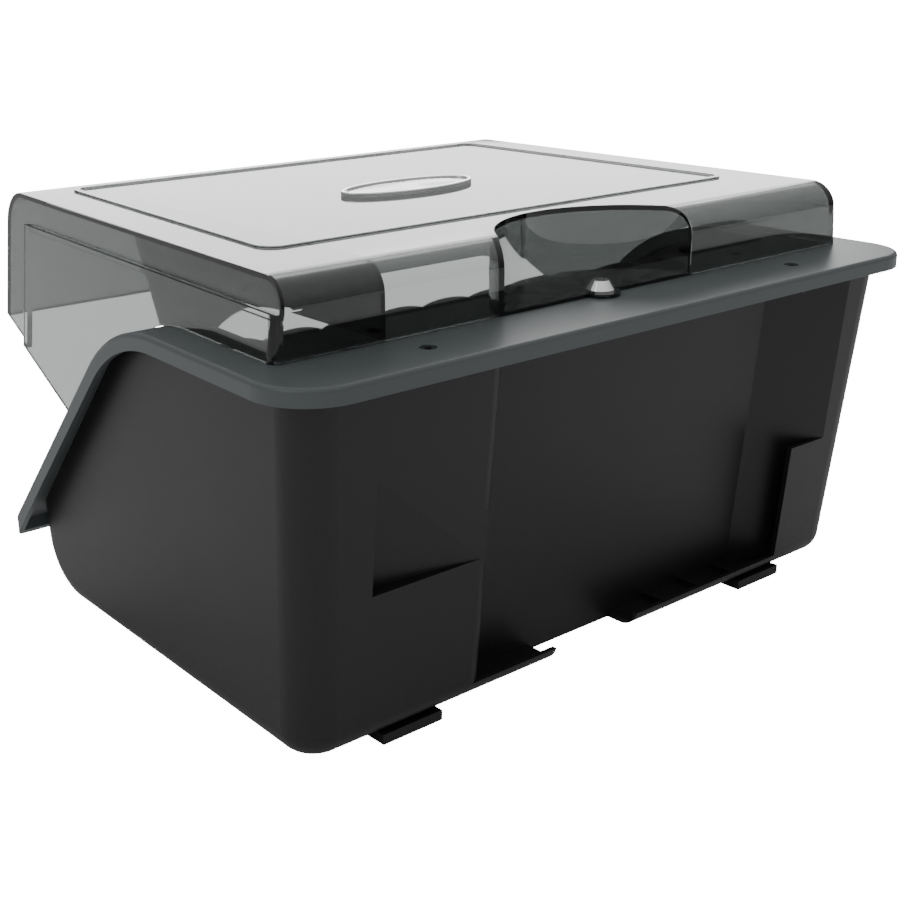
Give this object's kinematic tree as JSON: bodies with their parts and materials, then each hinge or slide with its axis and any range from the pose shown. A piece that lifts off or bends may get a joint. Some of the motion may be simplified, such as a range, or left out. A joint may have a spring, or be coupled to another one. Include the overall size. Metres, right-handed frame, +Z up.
{
  "type": "hopper-front storage bin with lift-off hood",
  "caption": "Black hopper-front storage bin with a grey collar, upright dividers and a smoked lift-off hood held by a quarter-turn fastener.",
  "frame": {"origin": "on the floor, under the middle of the whole object", "axes": "+Z up; the hopper mouth and the hood's flap face -Y; the mounting recess faces +Y; X runs across the width"},
  "size_m": [0.4254, 0.325, 0.2261],
  "materials": {
    "bin_plastic": "fine moulded texture, black",
    "collar_plastic": "satin moulded, blue-grey",
    "screw_steel": "black oxide",
    "smoked_plastic": "clear smoked, polished",
    "partition_plastic": "clear smoked, polished",
    "emblem_chrome": "bright chrome",
    "emblem_face_metal": "satin metal, plain",
    "stud_chrome": "bright chrome",
    "pin_steel": "ground",
    "plate_steel": "zinc plated",
    "rail_plastic": "fine moulded texture, black",
    "divider_plastic": "fine moulded texture, black",
    "foot_plastic": "fine moulded texture, black"
  },
  "bodies": {
    "bin": {"bin_body": "bin_plastic", "collar": "collar_plastic", "collar_screws": "screw_steel", "lock_plate": "plate_steel", "divider_rail_rear": "rail_plastic", "divider_rail_floor": "rail_plastic", "feet_rear": "foot_plastic", "feet_front": "foot_plastic", "divider_01": "divider_plastic", "divider_02": "divider_plastic", "divider_03": "divider_plastic", "divider_04": "divider_plastic", "divider_05": "divider_plastic", "divider_06": "divider_plastic", "divider_07": "divider_plastic", "divider_08": "divider_plastic", "divider_09": "divider_plastic", "divider_10": "divider_plastic"},
    "hood": {"hood": "smoked_plastic", "hood_partition": "partition_plastic", "emblem_bezel": "emblem_chrome", "emblem_face": "emblem_face_metal"},
    "lock": {"lock_stud": "stud_chrome", "lock_pin": "pin_steel"}
  },
  "joints": [
    {"name": "hood_lift", "type": "slide", "parent": "bin", "child": "hood", "axis": [0, 0, 1], "range_m": [0, 0.12]},
    {"name": "lock_turn", "type": "hinge", "parent": "hood", "child": "lock", "pos_m": [0, 0.1205, 0.19], "axis": [0, 0, 1], "range_deg": [0, 90]}
  ]
}
